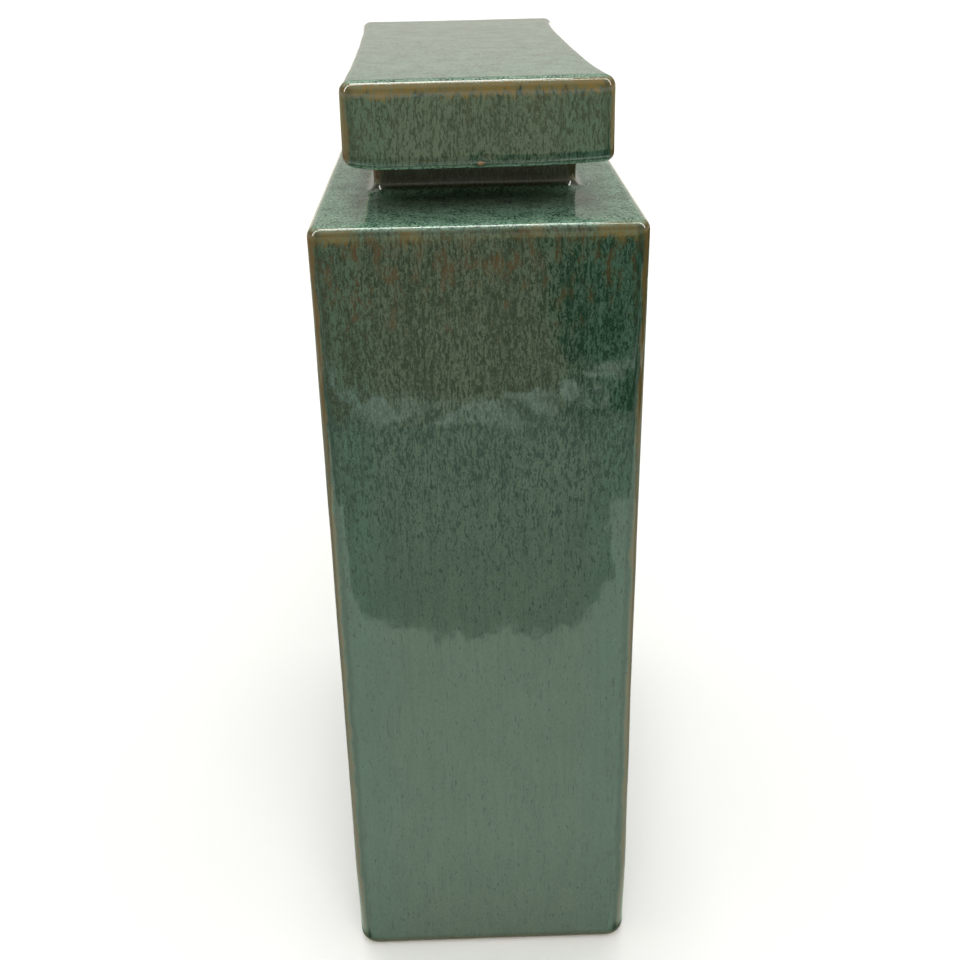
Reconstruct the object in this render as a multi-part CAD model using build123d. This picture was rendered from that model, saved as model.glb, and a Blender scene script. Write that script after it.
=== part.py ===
from build123d import *
import math
import os

# A tall rectangular jar with a lift-off lid, slip cast in stoneware and glazed. Millimetres.
# The origin is the centre of the foot, on the surface that the jar stands on.
# X runs across the narrow ends, Y along the broad sides, and Z up.

# Body, outside
body_width = 127.0
body_length = 270.0
shoulder_height = 349.0
body_corner_radius = 4.7
shoulder_edge_radius = 3.8
foot_edge_radius = 5.0

# Body, inside
wall = 6.5
floor_thickness = 8.0
cavity_corner_radius = 6.0
cavity_edge_radius = 5.0

# Underside: a foot rim round a shallow recess
foot_rim_width = 9.5
foot_recess_depth = 3.0
foot_inner_radius = 1.5

# Neck: an upright rectangular collar on the shoulder, whose rim carries the lid
neck_side_margin = 22.0
neck_end_margin = 60.0
neck_height = 17.5
neck_wall = 6.0
neck_corner_radius = 5.0
bore_corner_radius = 2.0
neck_root_radius = 3.5
rim_edge_radius = 1.8
throat_edge_radius = 2.5

# Lid: a hollow box, set in from the body's faces, whose long sides sank in the kiln
lid_side_margin = 12.8
lid_end_margin = 13.0
lid_side_sink = 2.6
lid_height = 32.0
lid_wall = 5.5
lid_corner_radius = 4.8
lid_top_radius = 4.4
lid_bottom_radius = 3.2
lid_cavity_corner_radius = 3.0

# Flange under the lid, loose in the neck
flange_depth = 14.0
flange_wall = 5.0
flange_clearance = 3.3
flange_root_radius = 1.0
flange_edge_radius = 1.5

# How the lid lies: slid to the left, and turned until the flange nearly touches the neck
lid_drift = 1.5
flange_touch_gap = 0.4

# Worked out from the sizes above
neck_width = body_width - 2 * neck_side_margin
neck_length = body_length - 2 * neck_end_margin
rim_height = shoulder_height + neck_height
bore_width = neck_width - 2 * neck_wall
bore_length = neck_length - 2 * neck_wall
flange_width = bore_width - 2 * flange_clearance
flange_length = bore_length - 2 * flange_clearance
lid_turn = math.degrees(math.asin((flange_clearance - lid_drift - flange_touch_gap) / (flange_length / 2)))

TOUCHING = 0.01  # how near a level or an outline an edge has to be to lie on it


def rounded_block(width, length, corner_radius, bottom, top):
    """An upright block with rounded corners, centred on the Z axis."""
    plan = Plane.XY.offset(bottom) * RectangleRounded(width, length, corner_radius)
    return extrude(plan, top - bottom)


def edges_at(solid, height, within_width=math.inf, within_length=math.inf):
    """The level edges of a solid at one height, inside a centred rectangle."""
    def inside(edge):
        centre = edge.center()
        return (
            abs(centre.X) < within_width / 2 + TOUCHING
            and abs(centre.Y) < within_length / 2 + TOUCHING
        )

    level = solid.edges().filter_by_position(Axis.Z, height - TOUCHING, height + TOUCHING)
    return [edge for edge in level if inside(edge)]


def make_shell():
    """The body's solid outer form with the neck standing on the shoulder."""
    block = rounded_block(body_width, body_length, body_corner_radius, 0, shoulder_height)
    block = fillet(edges_at(block, shoulder_height), shoulder_edge_radius)
    block = fillet(edges_at(block, 0), foot_edge_radius)
    neck = rounded_block(neck_width, neck_length, neck_corner_radius, shoulder_height - wall, rim_height)
    shell = block + neck
    return fillet(edges_at(shell, shoulder_height, neck_width, neck_length), neck_root_radius)


def make_cavity():
    """The space inside the body, from the floor to the underside of the shoulder."""
    cavity = rounded_block(
        body_width - 2 * wall,
        body_length - 2 * wall,
        cavity_corner_radius,
        foot_recess_depth + floor_thickness,
        shoulder_height - wall,
    )
    return fillet(cavity.faces().filter_by(Axis.Z).edges(), cavity_edge_radius)


def make_jar_body():
    """The body: walls, shoulder, neck and floor in one casting."""
    ceiling = shoulder_height - wall
    bore = rounded_block(bore_width, bore_length, bore_corner_radius, ceiling, rim_height)
    recess = rounded_block(
        body_width - 2 * foot_rim_width,
        body_length - 2 * foot_rim_width,
        body_corner_radius,
        0,
        foot_recess_depth,
    )
    body = make_shell() - make_cavity() - bore - recess
    body = fillet(edges_at(body, ceiling, bore_width, bore_length), throat_edge_radius)
    body = fillet(edges_at(body, rim_height), rim_edge_radius)
    recess_mouth = edges_at(body, 0, body_width - 2 * foot_rim_width, body_length - 2 * foot_rim_width)
    return fillet(recess_mouth, foot_inner_radius)


def sunken_outline(width, length, corner_radius):
    """A rounded rectangle whose long sides curve in towards their middles."""
    half_width = width / 2
    half_length = length / 2
    waist = half_width - lid_side_sink
    front = Line((-half_width, -half_length), (half_width, -half_length))
    right = ThreePointArc((half_width, -half_length), (waist, 0), (half_width, half_length))
    rear = Line((half_width, half_length), (-half_width, half_length))
    left = ThreePointArc((-half_width, half_length), (-waist, 0), (-half_width, -half_length))
    plan = make_face([front, right, rear, left])
    return fillet(plan.vertices(), corner_radius)


def make_lid():
    """The lid, made with its underside at height 0 and then laid on the neck's rim."""
    width = body_width - 2 * lid_side_margin
    length = body_length - 2 * lid_end_margin
    box = extrude(sunken_outline(width, length, lid_corner_radius), lid_height)
    box = fillet(edges_at(box, lid_height), lid_top_radius)
    box = fillet(edges_at(box, 0), lid_bottom_radius)
    hollow_plan = sunken_outline(width - 2 * lid_wall, length - 2 * lid_wall, lid_cavity_corner_radius)
    hollow = extrude(Plane.XY.offset(lid_wall) * hollow_plan, lid_height - 2 * lid_wall)
    hollow_middle = lid_height / 2
    flange = rounded_block(flange_width, flange_length, bore_corner_radius, -flange_depth, lid_wall)
    opening = rounded_block(
        flange_width - 2 * flange_wall,
        flange_length - 2 * flange_wall,
        bore_corner_radius,
        -flange_depth,
        hollow_middle,
    )
    box = box + flange
    box = fillet(edges_at(box, 0, flange_width, flange_length), flange_root_radius)
    lid = box - hollow - opening
    lid = fillet(edges_at(lid, -flange_depth), flange_edge_radius)
    return Pos(-lid_drift, 0, rim_height) * Rot(0, 0, lid_turn) * lid


os.makedirs("parts", exist_ok=True)
export_step(make_jar_body(), "parts/jar_body.step")
export_step(make_lid(), "parts/lid.step")
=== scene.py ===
import math

import bpy
from mathutils import Matrix, Vector, noise


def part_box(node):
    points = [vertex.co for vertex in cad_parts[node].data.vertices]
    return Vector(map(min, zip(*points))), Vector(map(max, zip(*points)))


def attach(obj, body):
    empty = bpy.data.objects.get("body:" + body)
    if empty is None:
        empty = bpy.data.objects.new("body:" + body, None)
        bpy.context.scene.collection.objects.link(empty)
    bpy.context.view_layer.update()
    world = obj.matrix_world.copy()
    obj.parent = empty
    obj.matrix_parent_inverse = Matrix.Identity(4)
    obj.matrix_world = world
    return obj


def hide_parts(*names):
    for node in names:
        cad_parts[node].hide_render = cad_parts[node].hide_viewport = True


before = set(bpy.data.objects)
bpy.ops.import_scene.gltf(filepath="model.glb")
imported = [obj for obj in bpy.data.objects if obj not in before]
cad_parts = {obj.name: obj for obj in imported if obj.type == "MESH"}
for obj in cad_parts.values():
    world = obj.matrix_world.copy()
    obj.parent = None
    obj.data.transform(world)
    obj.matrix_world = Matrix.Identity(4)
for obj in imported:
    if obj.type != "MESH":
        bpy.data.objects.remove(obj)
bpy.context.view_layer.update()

# The looks of a tall rectangular jar and its lid, in streaked green glaze. Metres, in the row frame.
MM = 0.001

# The jar's body: what the frame's boxes don't give
SHOULDER_HEIGHT = 349.0 * MM
BODY_CORNER_RADIUS = 4.7 * MM
SHOULDER_EDGE_RADIUS = 3.8 * MM
FOOT_EDGE_RADIUS = 5.0 * MM
FOOT_CORNER_RADIUS = 9.0 * MM
FOOT_BLEND_HEIGHT = 45.0 * MM
WALL = 6.5 * MM
FLOOR_THICKNESS = 8.0 * MM
CAVITY_CORNER_RADIUS = 6.0 * MM
CAVITY_EDGE_RADIUS = 5.0 * MM
FOOT_RIM_WIDTH = 9.5 * MM
FOOT_RECESS_DEPTH = 3.0 * MM
FOOT_INNER_RADIUS = 1.5 * MM
NECK_SIDE_MARGIN = 22.0 * MM
NECK_END_MARGIN = 60.0 * MM
NECK_WALL = 6.0 * MM
NECK_CORNER_RADIUS = 5.0 * MM
NECK_ROOT_RADIUS = 3.5 * MM
RIM_EDGE_RADIUS = 1.8 * MM
BORE_CORNER_RADIUS = 2.0 * MM
THROAT_EDGE_RADIUS = 2.5 * MM

# The lid, in its own frame: its underside is at height 0
LID_SIDE_MARGIN = 12.8 * MM
LID_END_MARGIN = 13.0 * MM
LID_WALL = 5.5 * MM
LID_CORNER_RADIUS = 4.8 * MM
LID_TOP_RADIUS = 4.4 * MM
LID_BOTTOM_RADIUS = 3.2 * MM
LID_CAVITY_CORNER_RADIUS = 3.0 * MM
FLANGE_DEPTH = 14.0 * MM
FLANGE_CLEARANCE = 3.3 * MM
FLANGE_WALL = 5.0 * MM
FLANGE_ROOT_RADIUS = 1.0 * MM
FLANGE_EDGE_RADIUS = 1.5 * MM
LID_DRIFT = 1.5 * MM
FLANGE_TOUCH_GAP = 0.4 * MM
BARE_MARGIN = 1.5 * MM  # how far the bare clay under the lid reaches past the neck

# How the clay moved in the kiln
WALL_SINK_RIGHT = 0.5 * MM
END_SINK = 0.6 * MM
LID_LEFT_WAIST = 1.4 * MM
LID_RIGHT_WAIST = 4.2 * MM
LID_LEFT_LIFT = 2.2 * MM
LID_RIGHT_LIFT = 1.3 * MM
LEFT_LIFT_FROM = 34.0 * MM  # from the lid's middle line
LEFT_LIFT_RUN = 16.0 * MM
RIGHT_LIFT_FROM = 15.0 * MM
RIGHT_LIFT_RUN = 35.0 * MM

# The glaze's own waves, which make its reflections ragged
LONG_WAVE = 30.0 * MM
LONG_WAVE_DEPTH = 0.30 * MM
SHORT_WAVE = 11.0 * MM
SHORT_WAVE_DEPTH = 0.07 * MM

# The chip in the glaze on the lid's lower front edge
CHIP_X = 0.3 * MM
CHIP_Z = 0.6 * LID_BOTTOM_RADIUS
CHIP_HALF_WIDTH = 2.8 * MM
CHIP_HALF_HEIGHT = 1.7 * MM
CHIP_DEPTH = 0.5 * MM

# How far down the walls the streaks have settled into calm glaze
CALM_REACH = 250.0 * MM

# Mesh density
GRID = 3.4 * MM
FINE_GRID = 2.2 * MM
CORNER_STEPS = 8
ARC_STEPS = 7
TINY = 0.05 * MM
SLIVER = 0.5 * MM

jar_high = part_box("jar_body")[1]
lid_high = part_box("lid")[1]
RIM_HEIGHT = jar_high.z
LID_HEIGHT = lid_high.z - RIM_HEIGHT
HALF_WIDTH = jar_high.x
HALF_LENGTH = jar_high.y

# Where the viewer stands and looks, in metres and radians, with the lens in millimetres
CAMERA_X = -0.00942
CAMERA_TO_FRONT = 0.44989
CAMERA_Z = 0.45646
CAMERA_YAW = -0.01742
CAMERA_PITCH = 0.43671
CAMERA_ROLL = -0.02069
CAMERA_LENS = 46.675
SENSOR_WIDTH = 36.0

# What the walls mirror, by how far it lies from the jar
SHEET_END = 0.330
FLOOR_END = 0.64
SCRAPS_MIDDLE = 0.66
SCRAPS_REACH = 0.11
CARD_HALF_SIZE = 4.0
CARD_HEIGHT = 0.4 * MM
FLOOR_HALF_SIZE = 15.0

# The windows in the world: the way to the right one, and their sizes as shares of a direction
WINDOW_X = 0.883
WINDOW_Y = -0.469
WINDOW_HALF_WIDTH = 0.080
WINDOW_SILL = 0.16


# ------------------------------------------------------------------ rings and skins

class Outline:
    """A level rounded rectangle, centred on the Z axis."""

    def __init__(self, half_x, half_y, radius):
        self.half_x = half_x
        self.half_y = half_y
        self.radius = radius

    def grown(self, by):
        """The outline with its sides moved out by a distance, or in by a negative one."""
        return Outline(self.half_x + by, self.half_y + by, max(self.radius + by, TINY))

    def towards(self, other, share):
        """The outline a share of the way to another."""
        return Outline(
            self.half_x + (other.half_x - self.half_x) * share,
            self.half_y + (other.half_y - self.half_y) * share,
            self.radius + (other.radius - self.radius) * share,
        )

    def spine(self):
        """What is left of the outline when it shrinks to a sliver along Y."""
        return Outline(SLIVER, self.half_y - self.half_x + SLIVER, TINY)

    def points(self, steps_x, steps_y):
        """Points anticlockwise from above, the same number for every outline of a piece."""
        straight_x = self.half_x - self.radius
        straight_y = self.half_y - self.radius
        corners = (
            (straight_x, -straight_y, 0, 0, 2 * straight_y, steps_y),
            (straight_x, straight_y, 90, -2 * straight_x, 0, steps_x),
            (-straight_x, straight_y, 180, 0, -2 * straight_y, steps_y),
            (-straight_x, -straight_y, 270, 2 * straight_x, 0, steps_x),
        )
        found = []
        for centre_x, centre_y, end_angle, run_x, run_y, steps in corners:
            for step in range(CORNER_STEPS + 1):
                angle = math.radians(end_angle - 90 + 90 * step / CORNER_STEPS)
                x = centre_x + self.radius * math.cos(angle)
                y = centre_y + self.radius * math.sin(angle)
                found.append((x, y))
            for step in range(1, steps):
                found.append((x + run_x * step / steps, y + run_y * step / steps))
        return found


class Skin:
    """Level rings, laid in order from the underside, that become one closed mesh.

    The marks say what the glaze does on a ring: fall is how far it is below the edge
    that it ran from, skin how thick it lies, bare is 1 on raw clay, the mark for thin glaze
    and painted shade is 1 where little glaze reached and where shade is painted into the
    colour under the lid and inside the jar, and chip is filled in later, where the glaze is chipped.
    """

    MARKS = ("fall", "skin", "bare", "dark", "chip")

    def __init__(self, outline, z, **marks):
        self.rings = [(outline, z, {key: marks.get(key, 0.0) for key in self.MARKS})]

    def between(self, outline, z, marks, across, up, share):
        """A ring on the way from the last one: shares of its outline, height and marks."""
        start, start_z, had = self.rings[-1]
        mixed = {key: had[key] + (marks.get(key, had[key]) - had[key]) * share for key in self.MARKS}
        return (start.towards(outline, across), start_z + (z - start_z) * up, mixed)

    def run(self, outline, z, steps, **marks):
        """Rings in equal steps from the last ring to a new outline and height."""
        shares = [step / steps for step in range(1, steps + 1)]
        self.rings += [self.between(outline, z, marks, share, share, share) for share in shares]

    def quarter(self, outline, z, level_first, **marks):
        """Rings along a quarter circle, which leaves the last ring on the level or upright."""
        rings = []
        for step in range(1, ARC_STEPS + 1):
            angle = math.pi / 2 * step / ARC_STEPS
            early, late = math.sin(angle), 1 - math.cos(angle)
            across, up = (early, late) if level_first else (late, early)
            rings.append(self.between(outline, z, marks, across, up, step / ARC_STEPS))
        self.rings += rings

    def mesh(self, name, steps_x, steps_y):
        """The closed mesh, with each mark as a point attribute."""
        verts = []
        columns = {key: [] for key in self.MARKS}
        for outline, z, marks in self.rings:
            for x, y in outline.points(steps_x, steps_y):
                verts.append((x, y, z))
                for key in self.MARKS:
                    columns[key].append(marks[key])
        count = len(verts) // len(self.rings)
        faces = [tuple(reversed(range(count)))]
        for row in range(len(self.rings) - 1):
            low, high = row * count, (row + 1) * count
            for at in range(count):
                after = (at + 1) % count
                faces.append((low + at, low + after, high + after, high + at))
        faces.append(tuple(range(len(verts) - count, len(verts))))
        mesh = bpy.data.meshes.new(name)
        mesh.from_pydata(verts, [], faces)
        for key in self.MARKS:
            mesh.attributes.new(key, "FLOAT", "POINT").data.foreach_set("value", columns[key])
        mesh.shade_smooth()
        return mesh


def bell(value, half):
    """1 in the middle, falling smoothly to 0 at plus and minus half."""
    share = min(abs(value) / half, 1.0)
    return (1 - share * share) ** 2


def climb(value, start, run):
    """0 up to the start, then rising evenly to 1 at the end of the run."""
    return min(max((value - start) / run, 0.0), 1.0)


def wave(place, seed):
    """How high the glaze's waves stand at a place, above or below their middle."""
    shift = Vector((seed, seed * 0.7, seed * 1.3))
    long_part = noise.noise(place / LONG_WAVE + shift) * LONG_WAVE_DEPTH
    short_part = noise.noise(place / SHORT_WAVE + shift) * SHORT_WAVE_DEPTH
    return long_part + short_part


def settle_glaze(mesh, seed):
    """Sinks the glazed points by the glaze's waves, always inwards."""
    skin = mesh.attributes["skin"].data
    deepest = LONG_WAVE_DEPTH + SHORT_WAVE_DEPTH
    normals = [Vector(normal.vector) for normal in mesh.vertex_normals]
    for vertex, normal, weight in zip(mesh.vertices, normals, skin):
        if weight.value > 0:
            vertex.co -= normal * weight.value * (deepest + wave(vertex.co, seed)) / 2


def mark_arris(mesh, half_x, half_y):
    """Marks how far each point is from the nearest upright edge."""
    values = [max(half_x - abs(v.co.x), half_y - abs(v.co.y)) for v in mesh.vertices]
    mesh.attributes.new("arris", "FLOAT", "POINT").data.foreach_set("value", values)


# ------------------------------------------------------------------ the jar's body

def make_jar_mesh():
    body = Outline(HALF_WIDTH, HALF_LENGTH, BODY_CORNER_RADIUS)
    foot = Outline(HALF_WIDTH, HALF_LENGTH, FOOT_CORNER_RADIUS)
    recess = Outline(HALF_WIDTH - FOOT_RIM_WIDTH, HALF_LENGTH - FOOT_RIM_WIDTH, BODY_CORNER_RADIUS)
    neck = Outline(HALF_WIDTH - NECK_SIDE_MARGIN, HALF_LENGTH - NECK_END_MARGIN, NECK_CORNER_RADIUS)
    bore = Outline(neck.half_x - NECK_WALL, neck.half_y - NECK_WALL, BORE_CORNER_RADIUS)
    cavity = Outline(HALF_WIDTH - WALL, HALF_LENGTH - WALL, CAVITY_CORNER_RADIUS)
    ceiling = SHOULDER_HEIGHT - WALL
    floor = FOOT_RECESS_DEPTH + FLOOR_THICKNESS
    wall_top = SHOULDER_HEIGHT - SHOULDER_EDGE_RADIUS
    shoulder_margin = NECK_END_MARGIN - NECK_ROOT_RADIUS - SHOULDER_EDGE_RADIUS

    skin = Skin(recess.spine(), FOOT_RECESS_DEPTH, bare=1.0, fall=SHOULDER_HEIGHT)
    skin.run(recess, FOOT_RECESS_DEPTH, steps=10)
    skin.run(recess, FOOT_INNER_RADIUS, steps=1)
    skin.quarter(recess.grown(FOOT_INNER_RADIUS), 0.0, level_first=False)
    skin.run(foot.grown(-FOOT_EDGE_RADIUS), 0.0, steps=1)
    foot_fall = wall_top - FOOT_EDGE_RADIUS
    skin.quarter(foot, FOOT_EDGE_RADIUS, level_first=True, fall=foot_fall, bare=0.0, skin=0.6)
    blend_steps = round((FOOT_BLEND_HEIGHT - FOOT_EDGE_RADIUS) / GRID)
    skin.run(body, FOOT_BLEND_HEIGHT, blend_steps, fall=wall_top - FOOT_BLEND_HEIGHT, skin=1.0)
    skin.run(body, wall_top, round((wall_top - FOOT_BLEND_HEIGHT) / GRID), fall=0.0)
    shoulder = body.grown(-SHOULDER_EDGE_RADIUS)
    skin.quarter(shoulder, SHOULDER_HEIGHT, level_first=False, fall=-SHOULDER_EDGE_RADIUS)
    shoulder_steps = round(shoulder_margin / GRID)
    skin.run(neck.grown(NECK_ROOT_RADIUS), SHOULDER_HEIGHT, shoulder_steps, fall=-shoulder_margin)
    # From the neck's root on, the mark for thin glaze and painted shade is 1: the neck, bore and inside
    # of the jar get painted shade, partly thin glaze
    skin.quarter(neck, SHOULDER_HEIGHT + NECK_ROOT_RADIUS, level_first=True, dark=1.0, skin=0.5)
    skin.run(neck, RIM_HEIGHT - RIM_EDGE_RADIUS, steps=5, skin=0.0)
    skin.quarter(neck.grown(-RIM_EDGE_RADIUS), RIM_HEIGHT, level_first=False, bare=1.0)
    skin.run(bore.grown(RIM_EDGE_RADIUS), RIM_HEIGHT, steps=1)
    skin.quarter(bore, RIM_HEIGHT - RIM_EDGE_RADIUS, level_first=True, bare=0.0)
    skin.run(bore, ceiling + THROAT_EDGE_RADIUS, steps=5)
    skin.quarter(bore.grown(THROAT_EDGE_RADIUS), ceiling, level_first=False)
    skin.run(cavity.grown(-CAVITY_EDGE_RADIUS), ceiling, steps=8)
    skin.quarter(cavity, ceiling - CAVITY_EDGE_RADIUS, level_first=True)
    skin.run(cavity, floor + CAVITY_EDGE_RADIUS, steps=30)
    skin.quarter(cavity.grown(-CAVITY_EDGE_RADIUS), floor, level_first=False)
    skin.run(cavity.grown(-CAVITY_EDGE_RADIUS).spine(), floor, steps=10)

    mesh = skin.mesh("glazed_jar_body", round(2 * HALF_WIDTH / GRID), round(2 * HALF_LENGTH / GRID))
    mark_arris(mesh, HALF_WIDTH, HALF_LENGTH)
    settle_glaze(mesh, seed=3.0)
    for vertex in mesh.vertices:
        sink_wall(vertex.co)
    return mesh


def sink_wall(place):
    """Draws the middles of the body's walls in, as fired slip-cast walls are."""
    upright = bell(place.z - SHOULDER_HEIGHT / 2, SHOULDER_HEIGHT / 2)
    if place.x > 0:
        place.x -= WALL_SINK_RIGHT * upright * place.x / HALF_WIDTH
    place.y -= END_SINK * upright * bell(place.x, HALF_WIDTH) * place.y / HALF_LENGTH


# ------------------------------------------------------------------ the lid

def make_lid_mesh():
    half_x = HALF_WIDTH - LID_SIDE_MARGIN
    half_y = HALF_LENGTH - LID_END_MARGIN
    bore_x = HALF_WIDTH - NECK_SIDE_MARGIN - NECK_WALL
    bore_y = HALF_LENGTH - NECK_END_MARGIN - NECK_WALL
    box = Outline(half_x, half_y, LID_CORNER_RADIUS)
    hollow = Outline(half_x - LID_WALL, half_y - LID_WALL, LID_CAVITY_CORNER_RADIUS)
    flange = Outline(bore_x - FLANGE_CLEARANCE, bore_y - FLANGE_CLEARANCE, BORE_CORNER_RADIUS)
    opening = Outline(flange.half_x - FLANGE_WALL, flange.half_y - FLANGE_WALL, BORE_CORNER_RADIUS)
    rest = Outline(bore_x + NECK_WALL, bore_y + NECK_WALL, NECK_CORNER_RADIUS)
    ceiling = LID_HEIGHT - LID_WALL
    wall_top = LID_HEIGHT - LID_TOP_RADIUS

    skin = Skin(hollow.spine(), ceiling, bare=1.0, fall=LID_HEIGHT)
    skin.run(hollow, ceiling, steps=8)
    skin.run(hollow, LID_WALL, steps=6)
    skin.run(opening, LID_WALL, steps=5)
    skin.run(opening, FLANGE_EDGE_RADIUS - FLANGE_DEPTH, steps=5)
    skin.quarter(opening.grown(FLANGE_EDGE_RADIUS), -FLANGE_DEPTH, level_first=False)
    skin.run(flange.grown(-FLANGE_EDGE_RADIUS), -FLANGE_DEPTH, steps=1)
    skin.quarter(flange, FLANGE_EDGE_RADIUS - FLANGE_DEPTH, level_first=True)
    skin.run(flange, -FLANGE_ROOT_RADIUS, steps=4)
    skin.quarter(flange.grown(FLANGE_ROOT_RADIUS), 0.0, level_first=False)
    skin.run(rest, 0.0, steps=4)
    # The lid's underside gets painted shade by the mark for thin glaze and painted shade, strongest by
    # the neck and fading out at the lower edge
    skin.run(rest.grown(BARE_MARGIN), 0.0, steps=1, bare=0.0, dark=1.0)
    skin.run(box.grown(-LID_BOTTOM_RADIUS), 0.0, steps=16, dark=0.4)
    wall_fall = wall_top - LID_BOTTOM_RADIUS
    skin.quarter(box, LID_BOTTOM_RADIUS, level_first=True, fall=wall_fall, skin=0.6, dark=0.0)
    skin.run(box, wall_top, round(wall_fall / FINE_GRID), fall=0.0, skin=1.0)
    skin.quarter(box.grown(-LID_TOP_RADIUS), LID_HEIGHT, level_first=False, fall=-LID_TOP_RADIUS)
    skin.run(box.spine(), LID_HEIGHT, round(half_x / GRID), fall=-half_x)

    mesh = skin.mesh("glazed_lid", round(2 * half_x / FINE_GRID), round(2 * half_y / FINE_GRID))
    mark_arris(mesh, half_x, half_y)
    settle_glaze(mesh, seed=11.0)
    for vertex in mesh.vertices:
        warp_lid(vertex.co, half_x, half_y)
    chip = [chip_depth(vertex.co, half_y) for vertex in mesh.vertices]
    for vertex, depth in zip(mesh.vertices, chip):
        vertex.co.y += CHIP_DEPTH * depth
    mesh.attributes["chip"].data.foreach_set("value", chip)
    turn = math.asin((FLANGE_CLEARANCE - LID_DRIFT - FLANGE_TOUCH_GAP) / flange.half_y)
    mesh.transform(Matrix.Translation((-LID_DRIFT, 0, RIM_HEIGHT)) @ Matrix.Rotation(turn, 4, "Z"))
    return mesh


def warp_lid(place, half_x, half_y):
    """Gives the fired lid its waist and its lifted lower corners."""
    along = min(abs(place.y) / half_y, 1.0)
    outer = climb(abs(place.x), 0.7 * half_x, 0.3 * half_x)
    if place.x > 0:
        place.x -= LID_RIGHT_WAIST * (1 - along ** 4) * outer
    else:
        place.x += LID_LEFT_WAIST * (1 - along ** 2.5) * outer
    overhang = climb(along, 0.75, 0.25)
    low_part = min(max(1 - place.z / LID_HEIGHT, 0.0), 1.0) if place.z >= 0 else 0.0
    left = climb(-place.x, LEFT_LIFT_FROM, LEFT_LIFT_RUN)
    right = climb(place.x, RIGHT_LIFT_FROM, RIGHT_LIFT_RUN)
    place.z += (LID_LEFT_LIFT * left ** 2 + LID_RIGHT_LIFT * right ** 2) * overhang * low_part


def chip_depth(place, half_y):
    """How deep the chip is at a place on the lid, as a share of its greatest depth."""
    on_front = place.y < -0.9 * half_y
    on_lower_edge = 0 <= place.z < 1.5 * LID_BOTTOM_RADIUS
    if not (on_front and on_lower_edge):
        return 0.0
    across = (place.x - CHIP_X) / CHIP_HALF_WIDTH
    up = (place.z - CHIP_Z) / CHIP_HALF_HEIGHT
    return max(1 - across ** 2 - up ** 2, 0.0)


# ------------------------------------------------------------------ glaze

# The colour sockets of a Mix node, which has others of the same names for numbers and vectors
MIX_FIRST = 6
MIX_SECOND = 7
MIX_RESULT = 2


class Graph:
    """Short ways to add and link shader nodes."""

    def __init__(self, tree):
        self.nodes = tree.nodes
        self.links = tree.links
        self.nodes.clear()

    def node(self, kind, inputs=None, **settings):
        """A new node, with settings for its own fields, and a value or a link for each input."""
        made = self.nodes.new(kind)
        for key, value in settings.items():
            setattr(made, key, value)
        for key, value in (inputs or {}).items():
            self.put(made.inputs[key], value)
        return made

    def put(self, socket, value):
        """Links a socket's source, or sets its plain value."""
        if isinstance(value, bpy.types.NodeSocket):
            self.links.new(value, socket)
        else:
            socket.default_value = value

    def maths(self, operation, first, second=0.0, third=0.0, clamp=False):
        made = self.node("ShaderNodeMath", operation=operation, use_clamp=clamp)
        for socket, value in zip(made.inputs, (first, second, third)):
            self.put(socket, value)
        return made.outputs[0]

    def plus(self, first, second):
        return self.maths("ADD", first, second)

    def minus(self, first, second):
        return self.maths("SUBTRACT", first, second)

    def times(self, first, second):
        return self.maths("MULTIPLY", first, second)

    def absolute(self, value):
        return self.maths("ABSOLUTE", value)

    def swing(self, value, reach):
        """How far a noise swings about its middle, scaled by a reach."""
        return self.times(self.minus(value, 0.5), reach)

    def ramp(self, value, low, high, to_low=0.0, to_high=1.0):
        """A smooth step of a value from low to high."""
        made = self.node("ShaderNodeMapRange", interpolation_type="SMOOTHSTEP")
        for key, number in (("Value", value), ("From Min", low), ("From Max", high)):
            self.put(made.inputs[key], number)
        self.put(made.inputs["To Min"], to_low)
        self.put(made.inputs["To Max"], to_high)
        return made.outputs["Result"]

    def noise(self, place, scale, detail=3.0, roughness=0.55, distortion=0.0):
        """A noise from 0 to 1, whose scale is its number of swings to a metre."""
        inputs = {
            "Vector": place, "Scale": scale, "Detail": detail,
            "Roughness": roughness, "Distortion": distortion,
        }
        return self.node("ShaderNodeTexNoise", inputs).outputs["Fac"]

    def stretched(self, place, z, y=1.0):
        """Places squeezed along Z or Y, so that a noise read there is drawn out that way."""
        return self.node("ShaderNodeMapping", {"Vector": place, "Scale": (1.0, y, z)}).outputs["Vector"]

    def pushed(self, target, place, scale, reach):
        """A target pushed about by a noise read at a place, so that what is drawn there curls."""
        push = self.node("ShaderNodeTexNoise", {"Vector": place, "Scale": scale, "Detail": 2.0})
        inputs = {0: push.outputs["Color"], "Scale": reach}
        push = self.node("ShaderNodeVectorMath", inputs, operation="SCALE")
        inputs = {0: target, 1: push.outputs[0]}
        return self.node("ShaderNodeVectorMath", inputs, operation="ADD").outputs[0]

    def mark(self, name):
        """One of the marks that the mesh carries."""
        return self.node("ShaderNodeAttribute", attribute_name=name).outputs["Fac"]

    def mix(self, share, first, second):
        """The first colour, with a share of the second."""
        made = self.node("ShaderNodeMix", data_type="RGBA")
        self.put(made.inputs["Factor"], share)
        self.put(made.inputs[MIX_FIRST], first)
        self.put(made.inputs[MIX_SECOND], second)
        return made.outputs[MIX_RESULT]


def new_material(name):
    material = bpy.data.materials.new(name)
    material.use_nodes = True
    return material, Graph(material.node_tree)


def paint(red, green, blue):
    return (red, green, blue, 1.0)


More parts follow.
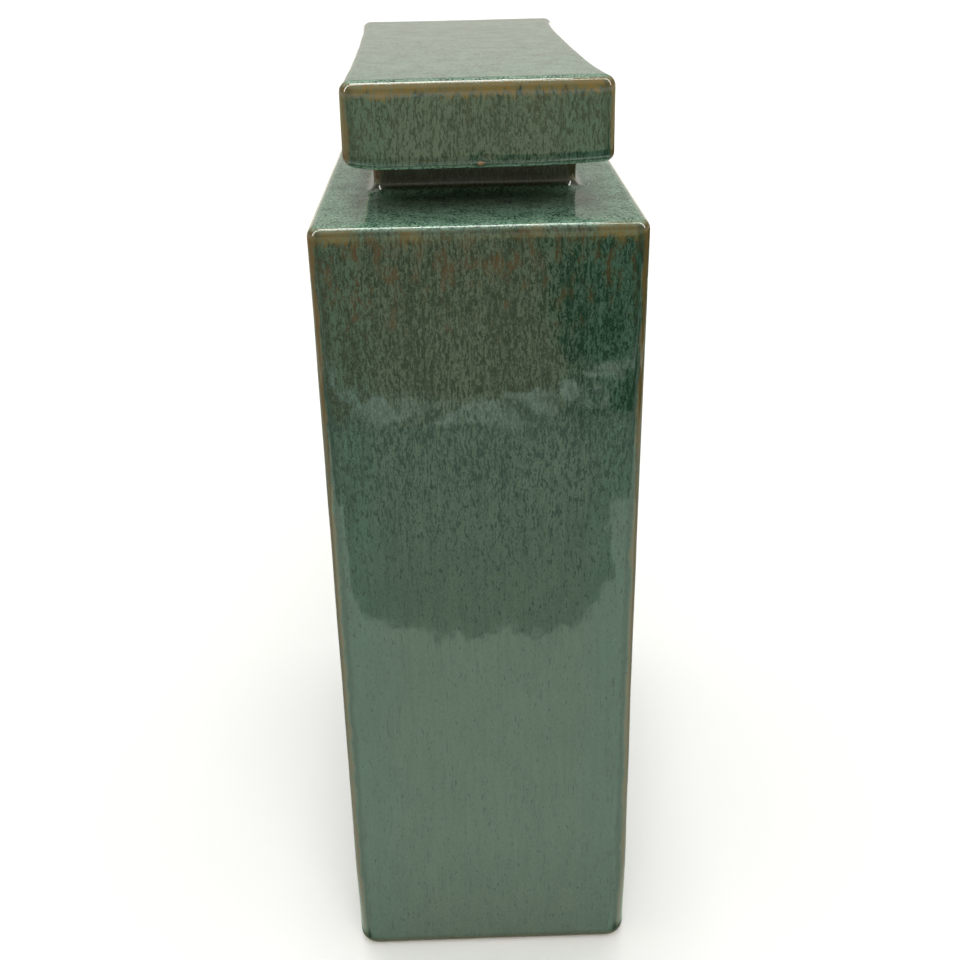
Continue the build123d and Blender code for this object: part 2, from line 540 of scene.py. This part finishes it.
# The glaze and the clay
DEEP = paint(0.010, 0.030, 0.017)
EMERALD = paint(0.033, 0.064, 0.040)
TEAL = paint(0.048, 0.100, 0.067)
SAGE = paint(0.066, 0.099, 0.065)
SPECK = paint(0.020, 0.060, 0.036)
SEA = paint(0.145, 0.270, 0.185)
MILK = paint(0.260, 0.400, 0.300)
MAUVE = paint(0.060, 0.044, 0.018)
RUST = paint(0.100, 0.070, 0.024)
GOLD = paint(0.150, 0.102, 0.020)
# Dark umber and olive: thin glaze with painted shade, for the neck, the jar's inside and the lid's
# underside
SHADE_UMBER = paint(0.038, 0.038, 0.018)
SHADE_OLIVE = paint(0.070, 0.070, 0.036)
BISQUE = paint(0.470, 0.350, 0.230)
GROG = paint(0.300, 0.200, 0.120)
BURNT = paint(0.260, 0.130, 0.050)

# The floor, and the room that the glaze mirrors
PAPER = paint(0.90, 0.90, 0.89)
SHEET_IN_FRONT = paint(1.48, 1.80, 1.50)
SHEET_BESIDE = paint(0.50, 0.50, 0.42)
CONTACT_SHADE = paint(0.10, 0.12, 0.10)
DIM_FLOOR = paint(0.60, 0.72, 0.63)
SCRAP = paint(1.50, 1.80, 1.55)
SCRAP_RIM = paint(0.10, 0.14, 0.12)
ROOM_NEAR = paint(0.58, 0.44, 0.32)
ROOM_DEEP = paint(0.48, 0.29, 0.20)
ROOM_RIGHT = paint(0.0, 0.0, 0.0)
ROOM_END = paint(0.85, 0.80, 0.50)
SKIRTING = paint(0.58, 0.55, 0.50)
WALLPAPER = paint(0.40, 0.38, 0.34)
CEILING = paint(0.95, 0.95, 0.92)
WINDOW = paint(13.0, 13.0, 12.4)


class Spot:
    """What every layer of the glaze asks about the spot that it colours."""

    def __init__(self, g, dark_below):
        coordinates = g.node("ShaderNodeTexCoord").outputs
        up = g.node("ShaderNodeSeparateXYZ", {"Vector": coordinates["Normal"]}).outputs["Z"]
        self.place = coordinates["Object"]
        self.bent = g.pushed(self.place, self.place, 70.0, 2.2 * MM)
        self.curled = g.pushed(self.bent, self.place, 500.0, 1.5 * MM)
        self.clouds = g.noise(g.stretched(self.place, 0.6), 45.0, 3.0, 0.6)
        self.level = g.ramp(g.absolute(up), 0.45, 0.80)
        self.fall = g.mark("fall")
        self.arris = g.mark("arris")
        self.bare = g.mark("bare")
        self.calm = g.ramp(self.fall, 0.2 * CALM_REACH, 0.8 * CALM_REACH)
        self.tone = streak_tone(g, self, dark_below)


def streak_tone(g, spot, dark_below):
    """How light the glaze is: curling hairs and flecks, gathered into long uneven streaks."""
    def settling(high_up, low_down):
        return g.ramp(spot.calm, 0.0, 1.0, high_up, low_down)

    flecks = g.noise(g.stretched(spot.curled, 0.5), 1400.0, 3.0, 0.7)
    streaks = g.noise(g.stretched(spot.bent, 0.08), 420.0, 3.0, 0.6)
    total = g.times(flecks, 0.50)
    for layer, share in ((streaks, 0.30), (spot.clouds, 0.20)):
        total = g.plus(total, g.times(layer, share))
    offset = g.minus(total, settling(dark_below, 0.42))
    offset = g.maths("DIVIDE", offset, settling(0.075, 0.34))
    tone = g.maths("MULTIPLY_ADD", offset, 0.5, 0.5, clamp=True)
    hairs = g.noise(g.stretched(spot.curled, 0.20), 1250.0, 2.0, 0.6)
    hairs = g.minus(settling(0.51, 0.385), hairs)
    tone = g.times(tone, g.ramp(hairs, -0.02, 0.10, 1.0, 0.05))
    grain = g.swing(g.noise(spot.place, 2400.0, 2.0), settling(1.3, 0.25))
    return g.maths("ADD", tone, grain, clamp=True)


def wall_colour(g, spot, rustiness):
    """Green that ran down the upright walls, with dark threads lower down and brown high up."""
    inland = g.maths("MULTIPLY_ADD", spot.clouds, 40.0 * MM, g.minus(spot.arris, 20.0 * MM))
    thick = g.mix(g.ramp(inland, 12.0 * MM, 32.0 * MM), TEAL, SAGE)
    thin = g.mix(g.ramp(spot.tone, 0.0, 0.4), DEEP, EMERALD)
    green = g.mix(g.ramp(spot.tone, 0.4, 0.9), thin, thick)
    threads = g.noise(g.stretched(spot.bent, 0.06), 1000.0, 2.0, 0.5)
    threads = g.times(g.ramp(threads, 0.30, 0.35, 1.0, 0.0), spot.calm)
    green = g.mix(g.times(threads, 0.5), green, DEEP)
    brown = g.noise(g.stretched(spot.bent, 0.45), 210.0, 4.0, 0.65)
    brown = g.plus(brown, g.ramp(spot.fall, 0.0, 0.30 * CALM_REACH, 0.10, -0.14))
    brown = g.times(g.ramp(brown, 0.54, 0.72), g.ramp(spot.tone, 0.15, 0.75, rustiness, 0.2 * rustiness))
    return g.mix(brown, green, MAUVE)


def level_colour(g, spot):
    """Milky specks on the level surfaces, where the glaze lay still."""
    specks = g.noise(spot.place, 1050.0, 4.0, 0.62)
    drifts = g.noise(spot.place, 120.0, 3.0, 0.6)
    specks = g.plus(specks, g.swing(drifts, 0.30))
    still = g.mix(g.ramp(specks, 0.40, 0.49), SPECK, SEA)
    return g.mix(g.ramp(specks, 0.51, 0.66), still, MILK)


def with_brown_band(g, spot, colour, depth, strength, least):
    """Thin glaze on the turn of the upper edge, with runs crossing it."""
    ragged = g.noise(g.stretched(spot.bent, 0.30), 450.0, 4.0, 0.65)
    below = g.minus(spot.fall, g.swing(ragged, 14.0 * MM))
    band = g.ramp(below, depth - 2.0 * MM, depth + 1.5 * MM, 1.0, 0.0)
    band = g.times(band, g.ramp(spot.fall, -3.3 * MM, -2.4 * MM))
    near_corner = g.ramp(spot.arris, 8.0 * MM, 24.0 * MM, 0.22, 0.0)
    patches = g.plus(g.noise(spot.place, 60.0, 2.0, 0.5), near_corner)
    patches = g.ramp(patches, 0.45, 0.70, least, 1.0)
    patches = g.times(patches, g.ramp(spot.tone, 0.3, 1.0, 1.0, 0.55))
    return g.mix(g.times(g.times(band, patches), strength), colour, GOLD)


def with_upright_edges(g, spot, colour):
    """Rust along the upright edges, and a dark line of pooled glaze beside it."""
    wander = g.noise(g.stretched(spot.place, 0.30), 260.0, 3.0, 0.6)
    from_edge = g.minus(spot.arris, g.times(wander, 4.4 * MM))
    upright = g.ramp(spot.level, 0.0, 1.0, 1.0, 0.0)
    edge = g.times(g.ramp(from_edge, -0.4 * MM, 1.2 * MM, 1.0, 0.0), upright)
    inner = g.ramp(from_edge, 2.0 * MM, 4.2 * MM, 1.0, 0.0)
    line = g.times(g.ramp(from_edge, 0.2 * MM, 1.6 * MM), g.times(inner, upright))
    colour = g.mix(g.times(line, 0.55), colour, DEEP)
    return g.mix(g.times(edge, 0.85), colour, RUST)


def with_chip(g, colour):
    """The chip: a dark rim round burnt clay."""
    chip = g.mark("chip")
    colour = g.mix(g.ramp(chip, 0.05, 0.35, 0.0, 0.85), colour, DEEP)
    return g.mix(g.ramp(chip, 0.45, 0.95, 0.0, 0.9), colour, BURNT)


def make_glaze(name, band_depth, band_strength, band_least, rustiness, dark_below):
    """Green glaze that ran down the walls in streaks and broke to brown along the edges.

    band_depth is how far the brown band comes down below the upper edge, band_strength how
    strong it is, and band_least how much of it is left in its weakest patches. rustiness is
    how much brown shows high up, and dark_below is the noise level under which runs there
    turn dark.
    """
    material, g = new_material(name)
    spot = Spot(g, dark_below)
    colour = g.mix(spot.level, wall_colour(g, spot, rustiness), level_colour(g, spot))
    colour = with_brown_band(g, spot, colour, band_depth, band_strength, band_least)
    colour = with_upright_edges(g, spot, colour)
    # Painted shade, partly thin glaze: where the mark for thin glaze and painted shade is set, the
    # colour turns dark umber
    thin_glaze_in_shade = g.mix(spot.tone, SHADE_UMBER, SHADE_OLIVE)
    colour = g.mix(g.times(g.mark("dark"), 0.85), colour, thin_glaze_in_shade)
    colour = with_chip(g, colour)
    raw_clay = g.mix(g.noise(spot.place, 1500.0, 2.0), BISQUE, GROG)
    colour = g.mix(spot.bare, colour, raw_clay)

    swells = {"Height": spot.clouds, "Strength": 0.25, "Distance": 0.5 * MM}
    swells = g.node("ShaderNodeBump", swells).outputs["Normal"]
    pores = {"Height": spot.tone, "Strength": 0.008, "Distance": 0.1 * MM, "Normal": swells}
    pores = g.node("ShaderNodeBump", pores).outputs["Normal"]
    shader = g.node("ShaderNodeBsdfPrincipled", {
        "Base Color": colour,
        "Roughness": g.ramp(spot.bare, 0.2, 0.9, 0.04, 0.75),
        "Normal": pores,
        "IOR": 1.55,
    })
    g.node("ShaderNodeOutputMaterial", {"Surface": shader.outputs["BSDF"]})
    return material


# ------------------------------------------------------------------ camera, floor and light

def add_camera():
    """The camera, from where a person standing close looks down on the jar's narrow end."""
    forward = Vector((
        -math.sin(CAMERA_YAW) * math.cos(CAMERA_PITCH),
        math.cos(CAMERA_YAW) * math.cos(CAMERA_PITCH),
        -math.sin(CAMERA_PITCH),
    ))
    level = Vector((math.cos(CAMERA_YAW), math.sin(CAMERA_YAW), 0.0))
    upward = level.cross(forward)
    side = level * math.cos(CAMERA_ROLL) + upward * math.sin(CAMERA_ROLL)
    above = upward * math.cos(CAMERA_ROLL) - level * math.sin(CAMERA_ROLL)
    data = bpy.data.cameras.new("camera")
    data.lens = CAMERA_LENS
    data.sensor_width = SENSOR_WIDTH
    data.clip_start = 0.01
    camera = bpy.data.objects.new("camera", data)
    turn = Matrix((side, above, -forward)).transposed().to_4x4()
    place = Matrix.Translation((CAMERA_X, -HALF_LENGTH - CAMERA_TO_FRONT, CAMERA_Z))
    camera.matrix_world = place @ turn
    bpy.context.collection.objects.link(camera)
    bpy.context.scene.camera = camera


def add_sheet(name, half_size, z, material):
    """A level square of the stage, centred on the Z axis."""
    mesh = bpy.data.meshes.new(name)
    corners = [(-half_size, -half_size, z), (half_size, -half_size, z)]
    corners += [(half_size, half_size, z), (-half_size, half_size, z)]
    mesh.from_pydata(corners, [], [(0, 1, 2, 3)])
    mesh.materials.append(material)
    sheet = bpy.data.objects.new(name, mesh)
    bpy.context.collection.objects.link(sheet)
    return sheet


def add_floor():
    material, g = new_material("floor_paper")
    shader = g.node("ShaderNodeBsdfDiffuse", {"Color": PAPER})
    g.node("ShaderNodeOutputMaterial", {"Surface": shader.outputs["BSDF"]})
    add_sheet("floor", FLOOR_HALF_SIZE, 0.0, material)


class CardSpot:
    """What the parts of the room card ask about a spot on it."""

    def __init__(self, g):
        self.place = g.node("ShaderNodeTexCoord").outputs["Object"]
        parts = g.node("ShaderNodeSeparateXYZ", {"Vector": self.place}).outputs
        self.x = parts["X"]
        self.y = parts["Y"]
        across = g.minus(g.absolute(self.x), HALF_WIDTH)
        along = g.minus(g.absolute(self.y), HALF_LENGTH)
        self.away = g.maths("MAXIMUM", across, along)
        self.ragged = g.noise(self.place, 9.0, 4.0, 0.6)
        self.far = g.plus(self.away, g.swing(self.ragged, 0.06))
        self.x_squared = g.times(self.x, self.x)


def with_sheet(g, spot, colour):
    """The bright sheet near the jar, with a torn end that bends back at the sides."""
    steep = g.times(g.times(spot.x_squared, spot.x_squared), 1200.0)
    torn = g.times(g.noise(spot.place, 26.0, 6.0, 0.75), 0.10)
    near = g.minus(g.plus(spot.far, torn), g.maths("MINIMUM", steep, 0.2))
    reached = g.ramp(near, SHEET_END, SHEET_END + 0.002, 1.0, 0.0)
    front = g.ramp(spot.y, -HALF_LENGTH - 0.10, -HALF_LENGTH + 0.10, 1.0, 0.0)
    sheet = g.mix(front, SHEET_BESIDE, SHEET_IN_FRONT)
    sheet = g.mix(g.ramp(spot.away, 0.0, 6.0 * MM), CONTACT_SHADE, sheet)
    return g.mix(reached, colour, sheet)


def with_scraps(g, spot, colour):
    """Bright scraps with dark rims, strewn where the dim floor ends."""
    sagging = g.minus(spot.far, g.maths("MINIMUM", g.times(spot.x_squared, 5.0), 0.15))
    from_middle = g.absolute(g.minus(sagging, SCRAPS_MIDDLE))
    scraps = g.noise(g.stretched(spot.place, 1.0, 0.7), 32.0, 4.0, 0.65, 0.6)
    scraps = g.plus(scraps, g.ramp(from_middle, 0.0, SCRAPS_REACH, 0.10, -0.22))
    rims = g.ramp(g.absolute(g.minus(scraps, 0.545)), 0.008, 0.022, 1.0, 0.0)
    colour = g.mix(g.times(rims, 0.7), colour, SCRAP_RIM)
    return g.mix(g.ramp(scraps, 0.56, 0.575), colour, SCRAP)


def room_colour(g, spot):
    """A brown room past the dim floor, dark on the right and lit at its far end."""
    right = g.ramp(g.plus(spot.x, g.times(spot.ragged, 0.1)), 0.13, 0.17)
    room = g.mix(g.ramp(spot.far, 0.9, 1.3), ROOM_NEAR, ROOM_DEEP)
    room = g.mix(right, room, ROOM_RIGHT)
    room = g.mix(g.ramp(spot.far, 1.7, 1.95), room, ROOM_END)
    return g.mix(g.ramp(spot.far, FLOOR_END, FLOOR_END + 0.04, 1.0, 0.0), room, DIM_FLOOR)


def add_room_card():
    """What the upright walls mirror: a bright sheet near the jar, a dim floor, then a dark room.

    Only glossy rays see it, so the floor stays pale.
    """
    material, g = new_material("room_card")
    spot = CardSpot(g)
    colour = with_sheet(g, spot, with_scraps(g, spot, room_colour(g, spot)))
    shader = g.node("ShaderNodeEmission", {"Color": colour, "Strength": 1.0})
    g.node("ShaderNodeOutputMaterial", {"Surface": shader.outputs["Emission"]})
    card = add_sheet("room_card", CARD_HALF_SIZE, CARD_HEIGHT, material)
    card.visible_camera = False
    card.visible_diffuse = False
    card.visible_shadow = False
    card.visible_transmission = False


def add_skylight(name, direction, spread, power, seen_in_gloss=True):
    """A soft disc of light, far away."""
    data = bpy.data.lights.new(name, "SUN")
    data.angle = math.radians(spread)
    data.energy = power
    light = bpy.data.objects.new(name, data)
    light.rotation_euler = (-Vector(direction)).to_track_quat("-Z", "Y").to_euler()
    light.visible_glossy = seen_in_gloss
    bpy.context.collection.objects.link(light)


def window_glow(g, direction):
    """How strongly two tall narrow windows, left and right of the viewer, show in the gloss."""
    parts = g.node("ShaderNodeSeparateXYZ", {"Vector": direction}).outputs
    aside = g.times(g.absolute(parts["X"]), -WINDOW_Y)
    aside = g.absolute(g.maths("MULTIPLY_ADD", parts["Y"], WINDOW_X, aside))
    glow = g.ramp(aside, WINDOW_HALF_WIDTH, WINDOW_HALF_WIDTH + 0.020, 1.0, 0.0)
    glow = g.times(glow, g.ramp(parts["Y"], -0.10, -0.05, 1.0, 0.0))
    glow = g.times(glow, g.ramp(parts["Z"], WINDOW_SILL, WINDOW_SILL + 0.06))
    path = g.node("ShaderNodeLightPath").outputs
    glow = g.times(glow, path["Is Glossy Ray"])
    return g.times(glow, g.maths("LESS_THAN", path["Glossy Depth"], 1.5))


def add_world():
    """A pale room: plain to the camera, and lit in bands by height for the glaze to mirror."""
    world = bpy.data.worlds.new("studio")
    world.use_nodes = True
    g = Graph(world.node_tree)
    direction = g.node("ShaderNodeTexCoord").outputs["Generated"]
    height = g.node("ShaderNodeSeparateXYZ", {"Vector": direction}).outputs["Z"]
    room = g.mix(g.ramp(height, 0.14, 0.21), SKIRTING, WALLPAPER)
    room = g.mix(g.ramp(height, 0.45, 0.75), room, CEILING)
    room = g.mix(window_glow(g, direction), room, WINDOW)
    seen = g.node("ShaderNodeLightPath").outputs["Is Camera Ray"]
    colour = g.mix(seen, room, PAPER)
    shader = g.node("ShaderNodeBackground", {"Color": colour, "Strength": 1.0})
    g.node("ShaderNodeOutputWorld", {"Surface": shader.outputs["Background"]})
    bpy.context.scene.world = world


# ------------------------------------------------------------------ the scene

def add_piece(mesh, material, body, node):
    """Puts a mesh on its body as one piece, in place of the CAD node."""
    mesh.materials.append(material)
    piece = bpy.data.objects.new(mesh.name, mesh)
    bpy.context.collection.objects.link(piece)
    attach(piece, body)
    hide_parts(node)


add_camera()
add_world()
add_floor()
add_room_card()
add_skylight("overhead", direction=(-0.02, 0.15, 1.0), spread=17.0, power=0.85)
add_skylight("fill", direction=(0.1, -1.0, 1.2), spread=40.0, power=1.00, seen_in_gloss=False)

jar_glaze = make_glaze(
    "jar_glaze",
    band_depth=2.6 * MM,
    band_strength=0.60,
    band_least=0.10,
    rustiness=0.9,
    dark_below=0.478,
)
lid_glaze = make_glaze(
    "lid_glaze",
    band_depth=1.2 * MM,
    band_strength=1.0,
    band_least=0.85,
    rustiness=0.2,
    dark_below=0.448,
)
add_piece(make_jar_mesh(), jar_glaze, body="jar", node="jar_body")
add_piece(make_lid_mesh(), lid_glaze, body="lid", node="lid")
bpy.context.scene.view_settings.view_transform = "Standard"
